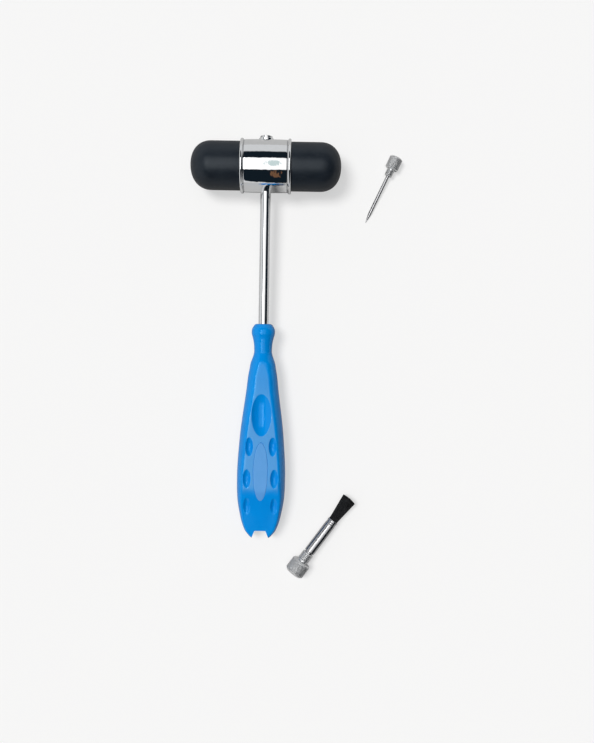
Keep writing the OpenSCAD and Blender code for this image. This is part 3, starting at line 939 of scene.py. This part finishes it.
def build_bristles():
    """Tapered bristles that leave the ferrule as one bundle and open towards their cut ends."""
    count, sides, rings = 950, 5, 9
    root_r, end_r, widest = 2.05, 3.36, 3.38
    root_z, end_z = FERRULE_END - 5.5, FERRULE_END + 12.6
    golden_angle = math.pi * (3 - math.sqrt(5))
    points, faces, locs, levels = [], [], [], []
    for k in range(count):
        out = math.sqrt((k + 0.5) / count)   # 0 in the bundle's middle, 1 at its edge
        angle = k * golden_angle + random.normal(0, 0.10)
        out = min(1.0, out * (1 + random.normal(0, 0.02)))
        tone = random.uniform(0, 1)
        thick = random.uniform(0.062, 0.082)
        # clumps lean together, and a few bristles stray
        clump = 0.22 * np.array([math.sin(3 * angle + 1.0), math.cos(2 * angle + 0.4)]) * out
        stray = random.normal(0, 0.10, 2) * (1 + 2.0 * (random.random() < 0.05))
        top = (end_z - 0.45 * abs(random.normal(0, 0.45)) - 0.15 * out * out
               - 0.55 * (0.5 + 0.5 * math.cos(angle - 0.7)) * out)
        faces += tube_faces(rings, sides, first=len(points))
        for j in range(rings):
            z = root_z + (top - root_z) * (j / (rings - 1))
            free = max(0.0, (z - FERRULE_END) / (end_z - FERRULE_END))
            radius = out * (root_r - 0.05 + (end_r + 0.08 - root_r) * (free ** 1.15))
            wave = 0.05 * math.sin(6 * free + tone * 6.28) * free
            centre = np.array([radius * math.cos(angle), radius * math.sin(angle)])
            centre = centre + (clump * 0.6 + stray) * free ** 1.6 + wave
            limit = widest if free > 0 else root_r
            distance = np.linalg.norm(centre)
            if distance > limit:
                centre *= limit / distance
            width = thick * (1 - 0.45 * max(0, free - 0.6) / 0.4)
            for i in range(sides):
                turn = i * 2 * math.pi / sides + tone * 6
                points.append((centre[0] + width * math.cos(turn),
                               centre[1] + width * math.sin(turn), z))
                locs.append((k * 0.37, tone * 5, z))
                levels.append(tone * (0.35 + 0.65 * free))
    return make_object("bristle_tuft", to_brush(np.array(points)), faces, loc=locs,
                       level=levels, sharp=80)


dress(build_ferrule(), "plain_steel", "brush_screw", "brush_ferrule")
dress(build_bristles(), "bristle", "brush_screw", "brush_bristles")

# ---------------------------------------------------------------- CAD pieces kept as they are
for node, slot in (("head_core", "core_alloy"), ("brush_socket", "brass"),
                   ("bristle_plug", "resin")):
    ob = frame["nodes"][node]
    if not ob.material_slots:
        ob.data.materials.append(MATERIALS[slot])
    for material_slot in ob.material_slots:
        material_slot.link = "OBJECT"
        material_slot.material = MATERIALS[slot]

# ---------------------------------------------------------------- table
scene = bpy.context.scene
scene.view_settings.view_transform = "Standard"
scene.view_settings.look = "None"


def table_paper():
    """Pale paper that glows a little, but only for the camera."""
    m = Material("table_paper")
    seen = m.source("LightPath", "Is Camera Ray")
    m.set(Base_Color=m.mix(seen, (0.47, 0.47, 0.47), (0.355, 0.355, 0.355)),
          Roughness=0.9, Specular_IOR_Level=0.0, Emission_Color=(1, 1, 1),
          Emission_Strength=m.times(seen, 0.538))
    return m.material


def build_table():
    half, z = 6.0, -0.00005        # metres
    mesh = bpy.data.meshes.new("table")
    corners = [(-half, -half, z), (half, -half, z), (half, half, z), (-half, half, z)]
    mesh.from_pydata(corners, [], [(0, 1, 2, 3)])
    table = bpy.data.objects.new("table", mesh)
    scene.collection.objects.link(table)
    mesh.materials.append(table_paper())


build_table()


# ---------------------------------------------------------------- world
def build_world():
    """What the camera sees beyond the table is plain.

    Polished metal mirrors a softbox overhead, a pale wall towards -X and +Y, and a dark
    room elsewhere. Places are on a ceiling one unit up: x and y of the direction over its z.
    """
    world = bpy.data.worlds.new("studio")
    scene.world = world
    world.use_nodes = True
    g = Graph(world.node_tree)
    direction = g.node("SeparateXYZ")
    g.feed(direction.inputs[0], g.source("TexCoord", "Generated"))
    rise = g.math("MAXIMUM", direction.outputs[2], 0.02)
    x = g.math("DIVIDE", direction.outputs[0], rise)
    y = g.math("DIVIDE", direction.outputs[1], rise)

    def ramp(value, dark, lit):
        """Rises smoothly from 0 at dark to 1 at lit."""
        span, to = ((dark, lit), (0, 1)) if dark < lit else ((lit, dark), (1, 0))
        return g.remap(value, span=span, to=to, smooth=True)

    def window(left, right):
        """The softbox's outline; left and right are (dark, lit) places on x."""
        return g.times(g.times(ramp(x, *left), ramp(x, *right)),
                       g.times(ramp(y, -0.56, -0.50), ramp(y, 0.44, 0.38)))

    def spot(centre, radii):
        across = g.math("DIVIDE", g.math("SUBTRACT", x, centre[0]), radii[0])
        along = g.math("DIVIDE", g.math("SUBTRACT", y, centre[1]), radii[1])
        return ramp(g.math("ADD", g.times(across, across), g.times(along, along)), 1.0, 0.35)

    def background(color):
        node = g.node("Background")
        node.inputs["Strength"].default_value = 1.0
        g.feed(node.inputs[0], color)
        return node.outputs[0]

    def choose(ray, otherwise, then):
        node = g.node("MixShader")
        for i, value in enumerate((light_path.outputs[ray], otherwise, then)):
            g.feed(node.inputs[i], value)
        return node.outputs[0]

    wall = g.math("MAXIMUM", ramp(x, -0.70, -1.10), ramp(y, 1.15, 1.45))

    # mirrored: the room with a narrow warm streak, the lamp dimmer towards +X with a dull spot
    room = g.mix(wall, (0.0065, 0.012, 0.018), (0.66, 0.67, 0.68))
    room = g.mix(spot(centre=(-0.004, -1.25), radii=(0.026, 0.80)), room, (0.17, 0.085, 0.045))
    lamp = g.mix(ramp(x, -0.26, -0.09), (3.90, 3.90, 3.90), (1.20, 1.20, 1.20))
    lamp = g.mix(ramp(x, 0.10, 0.45), lamp, (0.80, 0.80, 0.81))
    dull = g.times(spot(centre=(-0.010, 0.0), radii=(0.028, 0.26)), 0.85)
    lamp = g.mix(dull, lamp, (0.52, 0.66, 0.66))
    mirrored = background(g.mix(window(left=(-0.51, -0.42), right=(0.62, 0.46)), room, lamp))

    # light on matt surfaces; the wall counts in full
    wall_share = 1.0
    fill = g.mix(g.times(wall, wall_share), (0.11, 0.115, 0.12), (0.36, 0.36, 0.36))
    diffuse = background(g.mix(window(left=(-0.54, -0.47), right=(0.38, 0.32)), fill,
                               (1.15, 1.15, 1.15)))

    plain = background((0.922, 0.922, 0.922))
    light_path = g.node("LightPath")
    lighting = choose("Is Glossy Ray", otherwise=diffuse, then=mirrored)
    output = g.node("OutputWorld")
    g.feed(output.inputs[0], choose("Is Camera Ray", otherwise=lighting, then=plain))


build_world()


# ---------------------------------------------------------------- light and camera
def add_key_light():
    """A broad, slightly warm sun that casts no highlights."""
    sun = bpy.data.lights.new("key", "SUN")
    sun.energy = 2.45
    sun.angle = math.radians(22)
    sun.color = (1.0, 0.99, 0.975)
    key = bpy.data.objects.new("key", sun)
    scene.collection.objects.link(key)
    key.rotation_mode = "QUATERNION"
    key.rotation_quaternion = Vector((0.38, -0.17, -1.0)).to_track_quat("-Z", "Y")
    key.visible_glossy = False


def add_camera():
    """Looks straight down, turned by one degree."""
    lens = bpy.data.cameras.new("camera")
    lens.sensor_width = 36
    lens.lens = 38.8102288
    lens.clip_start, lens.clip_end = 0.01, 50
    camera = bpy.data.objects.new("camera", lens)
    scene.collection.objects.link(camera)
    camera.location = (HEAD[0] + 15.45 * MM, HEAD[1] - 91.44 * MM, 0.370)
    camera.rotation_euler = (0, 0, math.radians(1.0))
    scene.camera = camera


add_key_light()
add_camera()
